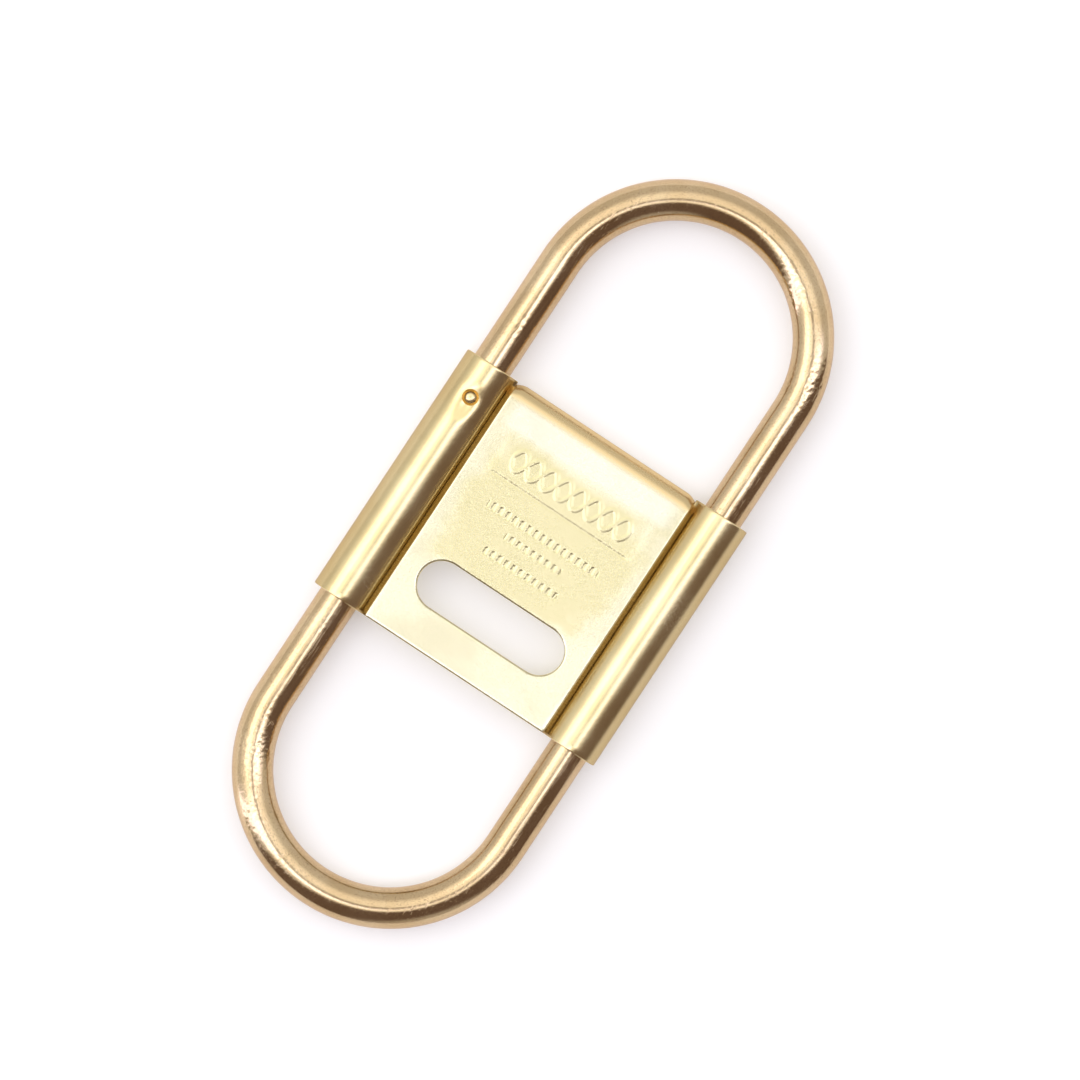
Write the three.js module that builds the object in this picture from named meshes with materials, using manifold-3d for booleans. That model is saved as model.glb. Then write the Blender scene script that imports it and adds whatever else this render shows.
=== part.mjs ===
// A brass carabiner keyring: a sprung upper shackle and a fixed lower loop of round rod,
// held in a body folded from sheet. Millimetres, +Z up. The ring lies flat on its back:
// +Y points to the shackle, +X to its short leg, and z = 0 is the surface that it lies on.
import * as THREE from 'three';
import { mergeVertices } from 'three/addons/utils/BufferGeometryUtils.js';
import Module from 'manifold-3d';

// Ring
const RING_LENGTH = 100;
const ROD_R = 2.5;
const LEG_X = 16.5; // half the distance between the legs, and the radius of each bend
const BEND_Y = RING_LENGTH / 2 - LEG_X - ROD_R; // centre of each bend, up and down from the middle

// Body of folded sheet
const SHEET = 0.9;
const SLEEVE_R = 3.5;
const BORE_R = SLEEVE_R - SHEET;
const BODY_TOP = 16.2;
const BODY_BOTTOM = -17.2;
const WEB_HALF = 1; // the web is two layers of sheet, with a thin gap between them
const WEB_GAP = 0.2;
const VALLEY_R = 0.9; // where a sleeve turns into the web
const GAP = 0.1; // between pieces that touch or slide

// Cover plate
const COVER_WIDTH = 25.6;
const COVER_INSIDE = WEB_HALF + GAP;
const COVER_OUTSIDE = COVER_INSIDE + SHEET;
const FOLD_Y = BODY_TOP + 0.1 - COVER_OUTSIDE; // axis of the fold over the band's top edge
const SLOT_LENGTH = 20;
const SLOT_WIDTH = 6;
const SLOT_Y = -9.2;

// Sprung leg, from the shoulder down
const SHOULDER_Y = 12.3;
const NECK_R = 1.5;
const NECK_FLAT = 1.15; // distance of the flat from the leg's axis
const NECK_END = -6.4;
const TENON_R = 1;
const COLLAR_LENGTH = 2.5;
const HEAD_R = 1.7;
const HEAD_LENGTH = 0.6;
const SEAT_R = 2.45; // outer radius of the washer and the collar
const WASHER_THICKNESS = 0.5;
const WASHER_TOP = 10.8;
const SPRING_R = 2;
const SPRING_WIRE_R = 0.25;
const SPRING_TURNS = 8;

// Pins
const PIN_R = 0.6;
const PIN_HOLE_R = PIN_R + GAP;
const PIN_Y = 11.5;
const PIN_TIP = NECK_FLAT + GAP;
const PIN_END = 3.2;
const COUNTERBORE_R = 0.95;
const COUNTERBORE_FLOOR = 3;
const DIMPLE_R = 2.4;
const DIMPLE_DEPTH = 0.25;
const LOOP_LEG_END = -10.4;
const LOOP_PIN_Y = -13.3;
const LOOP_PIN_TIP = 1.3;
const LOOP_PIN_END = 3.4;

// Facets
const ROD_SIDES = 24;
const SMALL_SIDES = 16;
const WIRE_SIDES = 6;
const LOOP_STEPS = 46;
const STEPS_PER_TURN = 12;
const ARC_SEGMENTS = 12;

const SATIN_BRASS = { color: 0xe3cf8e, roughness: 0.38, metalness: 1 };
const POLISHED_BRASS = { color: 0xd9b483, roughness: 0.22, metalness: 1 };
const SPRING_STEEL = { color: 0xb9bcc0, roughness: 0.3, metalness: 1 };

const wasm = await Module();
wasm.setup();

function toSolid(geometry) {
  const bare = geometry.clone();
  bare.deleteAttribute('normal');
  bare.deleteAttribute('uv');
  const merged = mergeVertices(bare);
  const corners = merged.index.array;
  const triVerts = [];
  for (let k = 0; k < corners.length; k += 3) {
    const [a, b, c] = corners.slice(k, k + 3);
    // a triangle that merging has closed up is left out
    if (a !== b && b !== c && c !== a) {
      triVerts.push(a, b, c);
    }
  }
  return new wasm.Manifold(new wasm.Mesh({
    numProp: 3,
    vertProperties: new Float32Array(merged.attributes.position.array),
    triVerts: new Uint32Array(triVerts),
  }));
}

function toGeometry(solid) {
  const mesh = solid.getMesh();
  const geometry = new THREE.BufferGeometry();
  geometry.setAttribute('position', new THREE.BufferAttribute(mesh.vertProperties, 3));
  geometry.setIndex(new THREE.BufferAttribute(mesh.triVerts, 1));
  geometry.computeVertexNormals();
  return geometry;
}

function piece(name, geometry, finish) {
  const mesh = new THREE.Mesh(geometry, new THREE.MeshStandardMaterial(finish));
  mesh.name = name;
  return mesh;
}

// Even-sided polygon inscribed in a circle
function disc(radius, sides) {
  const corners = [];
  for (let k = 0; k < sides; k += 1) {
    const angle = (2 * Math.PI * k) / sides;
    corners.push(new THREE.Vector2(radius * Math.cos(angle), radius * Math.sin(angle)));
  }
  return new THREE.Shape(corners);
}

// Round bar along Y, on the axis of the leg at x
function barAlongY(radius, bottom, top, x, sides = SMALL_SIDES) {
  const bar = new THREE.CylinderGeometry(radius, radius, top - bottom, sides);
  return bar.translate(x, (top + bottom) / 2, 0);
}

// Round bar along Z, through the point (x, y)
function barAlongZ(radius, bottom, top, x, y) {
  const bar = new THREE.CylinderGeometry(radius, radius, top - bottom, SMALL_SIDES);
  return bar.rotateX(Math.PI / 2).translate(x, y, (top + bottom) / 2);
}

// Down one leg, round the bend and up the other, with the bend's centre at the origin
class LoopPath extends THREE.Curve {
  constructor(legLength) {
    super();
    this.legLength = legLength;
  }

  getPoint(t, target = new THREE.Vector3()) {
    const bendLength = Math.PI * LEG_X;
    const run = t * (2 * this.legLength + bendLength) - this.legLength;
    if (run <= 0) {
      return target.set(-LEG_X, run, 0);
    }
    if (run >= bendLength) {
      return target.set(LEG_X, bendLength - run, 0);
    }
    const angle = Math.PI - run / LEG_X;
    return target.set(LEG_X * Math.cos(angle), LEG_X * Math.sin(angle), 0);
  }
}

function bentRod(legLength) {
  return new THREE.ExtrudeGeometry(disc(ROD_R, ROD_SIDES), {
    steps: LOOP_STEPS,
    bevelEnabled: false,
    extrudePath: new LoopPath(legLength),
  });
}

function slotCutter() {
  const half = SLOT_LENGTH / 2 - SLOT_WIDTH / 2;
  const outline = new THREE.Shape();
  outline.absarc(half, 0, SLOT_WIDTH / 2, -Math.PI / 2, Math.PI / 2, false);
  outline.absarc(-half, 0, SLOT_WIDTH / 2, Math.PI / 2, (3 * Math.PI) / 2, false);
  const cutter = new THREE.ExtrudeGeometry(outline, {
    depth: 2 * SLEEVE_R,
    bevelEnabled: false,
    curveSegments: ARC_SEGMENTS,
  });
  return toSolid(cutter.translate(0, SLOT_Y, -SLEEVE_R));
}

// The band's outside: web, valley, round a sleeve, valley, web, and the same on the other side
function bandOutline() {
  const reach = SLEEVE_R + VALLEY_R;
  const rise = WEB_HALF + VALLEY_R;
  const inset = Math.sqrt(reach * reach - rise * rise);
  const lean = Math.asin(rise / reach);
  const valleyX = LEG_X - inset;
  const outline = new THREE.Shape();
  outline.moveTo(-valleyX, WEB_HALF);
  outline.lineTo(valleyX, WEB_HALF);
  outline.absarc(valleyX, rise, VALLEY_R, -Math.PI / 2, -lean, false);
  outline.absarc(LEG_X, 0, SLEEVE_R, Math.PI - lean, lean - Math.PI, true);
  outline.absarc(valleyX, -rise, VALLEY_R, lean, Math.PI / 2, false);
  outline.lineTo(-valleyX, -WEB_HALF);
  outline.absarc(-valleyX, -rise, VALLEY_R, Math.PI / 2, Math.PI - lean, false);
  outline.absarc(-LEG_X, 0, SLEEVE_R, -lean, lean, true);
  outline.absarc(-valleyX, rise, VALLEY_R, Math.PI + lean, (3 * Math.PI) / 2, false);
  return outline;
}

// The band's inside: the two bores and the thin gap between the web's layers
function bandHollow() {
  const half = Math.asin(WEB_GAP / 2 / BORE_R);
  const hollow = new THREE.Path();
  hollow.absarc(LEG_X, 0, BORE_R, half - Math.PI, Math.PI - half, false);
  hollow.absarc(-LEG_X, 0, BORE_R, half, -half, false);
  return hollow;
}

function sleeveBand() {
  const section = bandOutline();
  section.holes.push(bandHollow());
  const blank = new THREE.ExtrudeGeometry(section, {
    depth: BODY_TOP - BODY_BOTTOM,
    bevelEnabled: false,
    curveSegments: ARC_SEGMENTS,
  });
  blank.rotateX(Math.PI / 2).translate(0, BODY_TOP, 0);
  // room for the cover's fold between the sleeves
  const notchWidth = 2 * (LEG_X - SLEEVE_R);
  const notchDepth = BODY_TOP - FOLD_Y + GAP;
  const notch = new THREE.BoxGeometry(notchWidth, 2 * notchDepth, 2 * SLEEVE_R);
  const dimple = new THREE.SphereGeometry(DIMPLE_R, ROD_SIDES, SMALL_SIDES);
  const cutters = [
    toSolid(notch.translate(0, BODY_TOP, 0)),
    toSolid(dimple.translate(-LEG_X, PIN_Y, SLEEVE_R + DIMPLE_R - DIMPLE_DEPTH)),
    toSolid(barAlongZ(PIN_HOLE_R, 0, SLEEVE_R, -LEG_X, PIN_Y)),
    toSolid(barAlongZ(COUNTERBORE_R, COUNTERBORE_FLOOR, SLEEVE_R, -LEG_X, PIN_Y)),
    toSolid(barAlongZ(PIN_HOLE_R, -SLEEVE_R - GAP, 0, -LEG_X, LOOP_PIN_Y)),
    toSolid(barAlongZ(PIN_HOLE_R, -SLEEVE_R - GAP, 0, LEG_X, LOOP_PIN_Y)),
    slotCutter(),
  ];
  const solid = cutters.reduce((rest, cutter) => rest.subtract(cutter), toSolid(blank));
  return piece('sleeve_band', toGeometry(solid), SATIN_BRASS);
}

// Front panel, round fold and back panel, as one strip across the body
function coverPlate() {
  const outline = new THREE.Shape();
  outline.moveTo(BODY_BOTTOM, COVER_INSIDE);
  outline.lineTo(FOLD_Y, COVER_INSIDE);
  outline.absarc(FOLD_Y, 0, COVER_INSIDE, Math.PI / 2, -Math.PI / 2, true);
  outline.lineTo(BODY_BOTTOM, -COVER_INSIDE);
  outline.lineTo(BODY_BOTTOM, -COVER_OUTSIDE);
  outline.lineTo(FOLD_Y, -COVER_OUTSIDE);
  outline.absarc(FOLD_Y, 0, COVER_OUTSIDE, -Math.PI / 2, Math.PI / 2, false);
  outline.lineTo(BODY_BOTTOM, COVER_OUTSIDE);
  const strip = new THREE.ExtrudeGeometry(outline, {
    depth: COVER_WIDTH,
    bevelEnabled: false,
    curveSegments: ARC_SEGMENTS,
  });
  const across = new THREE.Vector3(1, 0, 0);
  const along = new THREE.Vector3(0, 1, 0);
  const up = new THREE.Vector3(0, 0, 1);
  strip.applyMatrix4(new THREE.Matrix4().makeBasis(along, up, across));
  strip.translate(-COVER_WIDTH / 2, 0, 0);
  const solid = toSolid(strip).subtract(slotCutter());
  return piece('cover_plate', toGeometry(solid), SATIN_BRASS);
}

// The long leg's neck has a flat for the pin, and a tenon whose end is riveted over the collar
function neck() {
  const tenonEnd = NECK_END - COLLAR_LENGTH - 2 * GAP;
  const stem = toSolid(barAlongY(NECK_R, NECK_END, SHOULDER_Y + ROD_R, -LEG_X, ROD_SIDES));
  const flatTop = SHOULDER_Y;
  const flat = new THREE.BoxGeometry(2 * NECK_R, 2 * (flatTop - NECK_END), NECK_R);
  flat.translate(-LEG_X, NECK_END, NECK_FLAT + NECK_R / 2);
  const tenon = toSolid(barAlongY(TENON_R, tenonEnd, NECK_END + ROD_R, -LEG_X));
  const head = toSolid(barAlongY(HEAD_R, tenonEnd - HEAD_LENGTH, tenonEnd, -LEG_X));
  return stem.subtract(toSolid(flat)).add(tenon).add(head);
}

function upperShackle() {
  const loop = bentRod(BEND_Y - SHOULDER_Y).translate(0, BEND_Y, 0);
  return piece('upper_shackle', toGeometry(toSolid(loop).add(neck())), POLISHED_BRASS);
}

function lowerLoop() {
  const loop = bentRod(BEND_Y + LOOP_LEG_END).rotateZ(Math.PI).translate(0, -BEND_Y, 0);
  const solid = [-LEG_X, LEG_X].reduce((rest, x) => {
    const hole = barAlongZ(PIN_HOLE_R, -SLEEVE_R, GAP - LOOP_PIN_TIP, x, LOOP_PIN_Y);
    return rest.subtract(toSolid(hole));
  }, toSolid(loop));
  return piece('lower_loop', toGeometry(solid), POLISHED_BRASS);
}

// A pin's profile runs from its tip on the axis to its slightly domed end on the axis
function pinGeometry(tip, end) {
  const dome = 0.15;
  const profile = [
    new THREE.Vector2(0, tip),
    new THREE.Vector2(PIN_R, tip),
    new THREE.Vector2(PIN_R, end - dome),
    new THREE.Vector2(PIN_R - dome, end),
    new THREE.Vector2(0, end),
  ];
  return new THREE.LatheGeometry(profile, SMALL_SIDES).rotateX(Math.PI / 2);
}

function retainingPin() {
  const pin = pinGeometry(PIN_TIP, PIN_END).translate(-LEG_X, PIN_Y, 0);
  return piece('retaining_pin', pin, POLISHED_BRASS);
}

function lowerLoopPin(name, x) {
  const pin = pinGeometry(LOOP_PIN_TIP, LOOP_PIN_END).rotateX(Math.PI);
  return piece(name, pin.translate(x, LOOP_PIN_Y, 0), POLISHED_BRASS);
}

// Flat ring round the left leg's axis
function ring(hole, bottom, top) {
  const profile = [
    new THREE.Vector2(hole, bottom),
    new THREE.Vector2(SEAT_R, bottom),
    new THREE.Vector2(SEAT_R, top),
    new THREE.Vector2(hole, top),
    new THREE.Vector2(hole, bottom),
  ];
  return new THREE.LatheGeometry(profile, ROD_SIDES).translate(-LEG_X, 0, 0);
}

function thrustWasher() {
  const washer = ring(NECK_R + GAP, WASHER_TOP - WASHER_THICKNESS, WASHER_TOP);
  return piece('thrust_washer', washer, SPRING_STEEL);
}

function endCollar() {
  const top = NECK_END - GAP;
  return piece('end_collar', ring(TENON_R + GAP, top - COLLAR_LENGTH, top), POLISHED_BRASS);
}

// Helix up the Y axis whose first and last turns are closed against the next one
class SpringPath extends THREE.Curve {
  constructor(length) {
    super();
    this.closedPitch = 2 * SPRING_WIRE_R + GAP / 2;
    this.openPitch = (length - 2 * this.closedPitch) / (SPRING_TURNS - 2);
  }

  getPoint(t, target = new THREE.Vector3()) {
    const turn = t * SPRING_TURNS;
    const closed = Math.min(turn, 1) + Math.max(turn - SPRING_TURNS + 1, 0);
    const y = closed * this.closedPitch + (turn - closed) * this.openPitch;
    const angle = 2 * Math.PI * turn;
    return target.set(SPRING_R * Math.cos(angle), y, SPRING_R * Math.sin(angle));
  }
}

function returnSpring() {
  const bottom = NECK_END + SPRING_WIRE_R;
  const top = WASHER_TOP - WASHER_THICKNESS - GAP - SPRING_WIRE_R;
  const wire = new THREE.ExtrudeGeometry(disc(SPRING_WIRE_R, WIRE_SIDES), {
    steps: SPRING_TURNS * STEPS_PER_TURN,
    bevelEnabled: false,
    extrudePath: new SpringPath(top - bottom),
  });
  return piece('return_spring', wire.translate(-LEG_X, bottom, 0), SPRING_STEEL);
}

const body = new THREE.Group();
body.add(sleeveBand(), coverPlate(), retainingPin(), thrustWasher(), returnSpring());
body.add(lowerLoop(), lowerLoopPin('lower_loop_pin_left', -LEG_X));
body.add(lowerLoopPin('lower_loop_pin_right', LEG_X));

const shackle = new THREE.Group();
shackle.add(upperShackle(), endCollar());

const keyring = new THREE.Group();
keyring.add(body, shackle);
keyring.position.z = SLEEVE_R;

export default keyring;
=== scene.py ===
"""A brass carabiner keyring on a pale table: fine meshes, materials and light around its frame."""

import math

import bmesh
import bpy
import numpy as np
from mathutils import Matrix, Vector, noise


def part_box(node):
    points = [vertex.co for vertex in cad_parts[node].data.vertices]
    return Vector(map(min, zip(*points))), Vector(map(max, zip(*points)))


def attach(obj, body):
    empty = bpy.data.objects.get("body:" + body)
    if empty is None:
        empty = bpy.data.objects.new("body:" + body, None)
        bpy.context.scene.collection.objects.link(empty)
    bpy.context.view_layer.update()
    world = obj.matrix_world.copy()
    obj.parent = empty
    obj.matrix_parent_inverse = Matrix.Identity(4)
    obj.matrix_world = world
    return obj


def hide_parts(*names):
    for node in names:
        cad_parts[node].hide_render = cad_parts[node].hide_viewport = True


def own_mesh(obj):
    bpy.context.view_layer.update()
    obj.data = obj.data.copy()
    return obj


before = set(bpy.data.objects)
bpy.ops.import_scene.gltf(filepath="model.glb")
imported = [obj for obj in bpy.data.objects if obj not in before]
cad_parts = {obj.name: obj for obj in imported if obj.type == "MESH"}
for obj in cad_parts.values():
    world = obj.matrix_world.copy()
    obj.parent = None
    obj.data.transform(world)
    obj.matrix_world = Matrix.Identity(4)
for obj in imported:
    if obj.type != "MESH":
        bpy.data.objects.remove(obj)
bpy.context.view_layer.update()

MM = 0.001


def box_mm(node):
    """Lowest and highest corner of a CAD node, in millimetres."""
    low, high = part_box(node)
    return np.array(low) / MM, np.array(high) / MM


# ---------------------------------------------------------------- sizes, in millimetres
LOOP_LOW, LOOP_HIGH = box_mm("lower_loop")
SHACKLE_LOW, SHACKLE_HIGH = box_mm("upper_shackle")
BAND_LOW, BAND_HIGH = box_mm("sleeve_band")
COVER_LOW, COVER_HIGH = box_mm("cover_plate")
WASHER_LOW, WASHER_HIGH = box_mm("thrust_washer")
SPRING_LOW, SPRING_HIGH = box_mm("return_spring")
COLLAR_LOW, COLLAR_HIGH = box_mm("end_collar")
PIN_LOW, PIN_HIGH = box_mm("retaining_pin")
LOOP_PIN_LOW, LOOP_PIN_HIGH = box_mm("lower_loop_pin_left")

ROD_R = (LOOP_HIGH[2] - LOOP_LOW[2]) / 2
LEG_X = LOOP_HIGH[0] - ROD_R
MID_Z = (LOOP_HIGH[2] + LOOP_LOW[2]) / 2
BEND_Y = SHACKLE_HIGH[1] - ROD_R - LEG_X
SHOULDER_Y = 12.3
LOOP_LEG_END = LOOP_HIGH[1]

SHEET = 0.9
SLEEVE_R = (BAND_HIGH[2] - BAND_LOW[2]) / 2
BODY_TOP = BAND_HIGH[1]
BODY_BOTTOM = BAND_LOW[1]
WEB_HALF = 1.0
VALLEY_R = 0.9
WEB_TOP = 14.2

COVER_HALF = COVER_HIGH[0]
COVER_OUT = (COVER_HIGH[2] - COVER_LOW[2]) / 2
FOLD_Y = COVER_HIGH[1] - COVER_OUT
SLOT_HALF = 7.0
SLOT_R = 3.0
SLOT_Y = -9.2

PIN_X = (PIN_LOW[0] + PIN_HIGH[0]) / 2
PIN_Y = (PIN_LOW[1] + PIN_HIGH[1]) / 2
PIN_R = (PIN_HIGH[0] - PIN_LOW[0]) / 2
COUNTERSINK_R = 1.02
COUNTERSINK_LOW = 2.72
COUNTERSINK_HIGH = 3.20
LOOP_PIN_Y = (LOOP_PIN_LOW[1] + LOOP_PIN_HIGH[1]) / 2

# ---------------------------------------------------------------- camera
# It looks straight down from 718 mm above the rods' middle, through a long lens, and it is turned
# so that the ring leans 33.4 degrees to the right.
LENS = 200.0
CAMERA_HEIGHT = 0.7181
LEAN = math.radians(33.4)
VIEW_CENTRE = (-0.00022, 0.00186)


def make_camera():
    data = bpy.data.cameras.new("camera")
    data.lens = LENS
    camera = bpy.data.objects.new("camera", data)
    camera.location = (*VIEW_CENTRE, MID_Z * MM + CAMERA_HEIGHT)
    camera.rotation_euler = (0, 0, LEAN)
    bpy.context.scene.collection.objects.link(camera)
    bpy.context.scene.camera = camera


# ---------------------------------------------------------------- mesh helpers
# points closer than this, in metres, are one, and edges sharper than this angle aren't smoothed
MERGE = 1e-7
SHARP = math.radians(35)


def smooth(low, high, x):
    """0 below low, 1 above high, and smooth between them."""
    t = np.clip((x - low) / (high - low), 0, 1)
    return t * t * (3 - 2 * t)


def new_mesh(name, points, faces):
    """A mesh from points in millimetres, with doubled points merged and its faces outward."""
    mesh = bpy.data.meshes.new(name)
    mesh.from_pydata((np.asarray(points) * MM).tolist(), [], [list(map(int, f)) for f in faces])
    work = bmesh.new()
    work.from_mesh(mesh)
    bmesh.ops.remove_doubles(work, verts=work.verts, dist=MERGE)
    bmesh.ops.recalc_face_normals(work, faces=work.faces)
    work.to_mesh(mesh)
    work.free()
    return mesh


def add_piece(name, points, faces, material, body):
    """A smooth-shaded mesh piece that rides on a body and stands for its CAD node."""
    mesh = new_mesh(name, points, faces)
    mesh.shade_smooth()
    mesh.set_sharp_from_angle(angle=SHARP)
    piece = bpy.data.objects.new(name + "_fine", mesh)
    bpy.context.scene.collection.objects.link(piece)
    mesh.materials.append(material)
    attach(piece, body)
    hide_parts(name)
    return piece


def tube_faces(rings, sides):
    """Quads of a closed skin over rings of points, with a fan over each end."""
    faces = []
    for i in range(rings - 1):
        for j in range(sides):
            k = (j + 1) % sides
            faces.append((i * sides + j, i * sides + k, (i + 1) * sides + k, (i + 1) * sides + j))
    first, last = rings * sides, rings * sides + 1
    for j in range(sides):
        k = (j + 1) % sides
        faces.append((k, j, first))
        faces.append(((rings - 1) * sides + j, (rings - 1) * sides + k, last))
    return faces


def lathe(profile, sides, axis, centre):
    """A solid turned about y or z: profile is (distance along the axis, radius) pairs, whose last
    joins its first."""
    points, faces = [], []
    for along, radius in profile:
        for j in range(sides):
            a = 2 * math.pi * j / sides
            ring = (radius * math.cos(a), radius * math.sin(a))
            if axis == "y":
                points.append((centre[0] + ring[0], centre[1] + along, centre[2] + ring[1]))
            else:
                points.append((centre[0] + ring[0], centre[1] + ring[1], centre[2] + along))
    count = len(profile)
    for i in range(count):
        for j in range(sides):
            k = (j + 1) % sides
            n = (i + 1) % count
            faces.append((i * sides + j, i * sides + k, n * sides + k, n * sides + j))
    return points, faces


# ---------------------------------------------------------------- rods
ROD_SIDES = 96
ROD_STEP = 0.2
ROD_EDGE = 0.35
# wear: a long wave over the whole rod, and shallow dents and pits round the worn places
ROD_WAVE = 0.008
DENT_DEEP = 0.012
PIT_DEEP = 0.11
PIT_FLOOR = 0.15
ROD_WAVE_SCALE = 0.3
DENT_SCALE = 2.2
PIT_SCALE = 3.6
WORN_LEAST = 0.03
# the worn places, as (x, y, reach): two on each bend, and one on a leg
SHACKLE_WEAR = [(8.5, 43.6, 3.6), (17.5, 35.5, 4.0), (-16.0, 22.0, 1.3)]
LOOP_WEAR = [(-11.5, -46.0, 3.6), (-15.0, -37.5, 4.0), (-16.8, -20.5, 1.3)]
SHACKLE_SEED = 3.1
LOOP_SEED = 8.7


def bend_station(run, leg_length):
    """Centre and outward direction of the rod, run millimetres from the left leg's lower end."""
    bend = math.pi * LEG_X
    if run <= leg_length:
        return (-LEG_X, BEND_Y - leg_length + run), (-1, 0)
    if run >= leg_length + bend:
        return (LEG_X, BEND_Y - (run - leg_length - bend)), (1, 0)
    a = math.pi - (run - leg_length) / LEG_X
    return (LEG_X * math.cos(a), BEND_Y + LEG_X * math.sin(a)), (math.cos(a), math.sin(a))


def rounded_end(radius, edge, rows=5):
    """Rows (distance from the end, radius) that round the edge of a rod's end."""
    out = []
    for i in range(rows + 1):
        a = math.pi / 2 * i / rows
        out.append((edge * (1 - math.sin(a)), radius - edge * (1 - math.cos(a))))
    return out[::-1]


def rod_stations(leg_length):
    """(run, radius) along a bent rod whose two ends have rounded edges."""
    length = 2 * leg_length + math.pi * LEG_X
    count = int(length / ROD_STEP)
    middle = [(ROD_EDGE + (length - 2 * ROD_EDGE) * i / count, ROD_R) for i in range(1, count)]
    left = sorted(rounded_end(ROD_R, ROD_EDGE))
    right = [(length - d, r) for d, r in reversed(left)]
    return left + middle + right


def wear_depth(points, seed, centres):
    """How far handling has dented the rod at each point: small pits near the given centres."""
    depth = np.zeros(len(points))
    for i, p in enumerate(points):
        near = max(math.exp(-((p[0] - x) ** 2 + (p[1] - y) ** 2) / r ** 2) for x, y, r in centres)
        v = Vector(p)
        depth[i] = ROD_WAVE * noise.noise(v * ROD_WAVE_SCALE + Vector((seed, 0, 0)))
        if near > WORN_LEAST:
            dents = noise.noise(v * DENT_SCALE + Vector((0, seed, 0)))
            pits = max(0.0, noise.noise(v * PIT_SCALE + Vector((0, 0, seed))) - PIT_FLOOR)
            depth[i] += near * (DENT_DEEP * dents + PIT_DEEP * pits)
    return depth


def skin_rod(stations, leg_length, flat=None):
    """Points of the rod's rings. Below flat[1] the rod is cut to flat[0] above its axis."""
    points, outward = [], []
    for run, radius in stations:
        (cx, cy), (nx, ny) = bend_station(run, leg_length)
        for j in range(ROD_SIDES):
            a = 2 * math.pi * j / ROD_SIDES
            across, up = radius * math.cos(a), radius * math.sin(a)
            if flat and run < flat[1]:
                up = min(up, flat[0])
            points.append((cx + nx * across, cy + ny * across, MID_Z + up))
            outward.append((nx * math.cos(a), ny * math.cos(a), math.sin(a)))
    return np.array(points), np.array(outward)


def closed_rod(points, outward, rings, seed, centres):
    """A rod's worn points and its faces, closed at both ends."""
    worn = points - outward * wear_depth(points, seed, centres)[:, None]
    ends = [points[:ROD_SIDES].mean(axis=0), points[-ROD_SIDES:].mean(axis=0)]
    return np.vstack([worn, ends]), tube_faces(rings, ROD_SIDES)


NECK_R = 1.5
NECK_FLAT = 1.15
FLAT_END = -0.1
NECK_STEPS = 40
NECK_ROOT = 0.15
TENON_R = 1.0
TENON_GAP = 0.1
HEAD_R = 1.7


def neck_stations():
    """(y, radius) up the turned neck: riveted head, tenon, and stem to the shoulder."""
    head_end = SHACKLE_LOW[1]
    tenon_end = COLLAR_LOW[1] - TENON_GAP
    stem_end = COLLAR_HIGH[1] + TENON_GAP
    rows = [(head_end, 0.6), (head_end + 0.04, 1.1), (head_end + 0.15, 1.45)]
    rows += [(head_end + 0.35, HEAD_R), (tenon_end, HEAD_R), (tenon_end, TENON_R)]
    rows += [(stem_end, TENON_R), (stem_end, NECK_R - 0.1), (stem_end + 0.1, NECK_R)]
    rise = SHOULDER_Y - 0.2 - stem_end
    rows += [(stem_end + 0.1 + rise * i / NECK_STEPS, NECK_R) for i in range(1, NECK_STEPS)]
    rows += [(SHOULDER_Y - 0.12, NECK_R), (SHOULDER_Y - 0.03, NECK_R + 0.05)]
    rows += [(SHOULDER_Y, NECK_R + NECK_ROOT), (SHOULDER_Y, ROD_R - ROD_EDGE)]
    return rows


def make_upper_shackle(material):
    leg = BEND_Y - SHOULDER_Y
    neck = [(y - SHOULDER_Y, r) for y, r in neck_stations()]
    stations = neck + rod_stations(leg)
    points, outward = skin_rod(stations, leg, flat=(NECK_FLAT, FLAT_END))
    points, faces = closed_rod(points, outward, len(stations), SHACKLE_SEED, SHACKLE_WEAR)
    add_piece("upper_shackle", points, faces, material, "shackle")


def make_lower_loop(material):
    leg = BEND_Y + LOOP_LEG_END
    stations = rod_stations(leg)
    points, outward = skin_rod(stations, leg)
    half_turn = (-1, -1, 1)
    points, faces = closed_rod(points * half_turn, outward * half_turn, len(stations),
                               LOOP_SEED, LOOP_WEAR)
    add_piece("lower_loop", points, faces, material, "body")


# ---------------------------------------------------------------- folded sheet in general
TINY = 1e-9
ON_FACE = 1e-6


def rim_rows(thickness, edge, rows=3):
    """(outward, depth) rows that round a sheet's edge, from its top face to its bottom face."""
    quarter = [math.pi / 2 * i / rows for i in range(1, rows + 1)]
    top = [(edge * math.sin(a), edge * (1 - math.cos(a))) for a in quarter]
    return top + [(out, thickness - deep) for out, deep in reversed(top)]


def loop_normals(loop):
    """Unit normals of a closed 2D loop, on the right of its direction."""
    ahead = np.roll(loop, -1, axis=0) - loop
    behind = loop - np.roll(loop, 1, axis=0)
    ahead = ahead / np.maximum(np.linalg.norm(ahead, axis=1), TINY)[:, None]
    behind = behind / np.maximum(np.linalg.norm(behind, axis=1), TINY)[:, None]
    tangent = ahead + behind
    tangent /= np.maximum(np.linalg.norm(tangent, axis=1), TINY)[:, None]
    return np.stack([tangent[:, 1], -tangent[:, 0]], axis=1)


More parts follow.
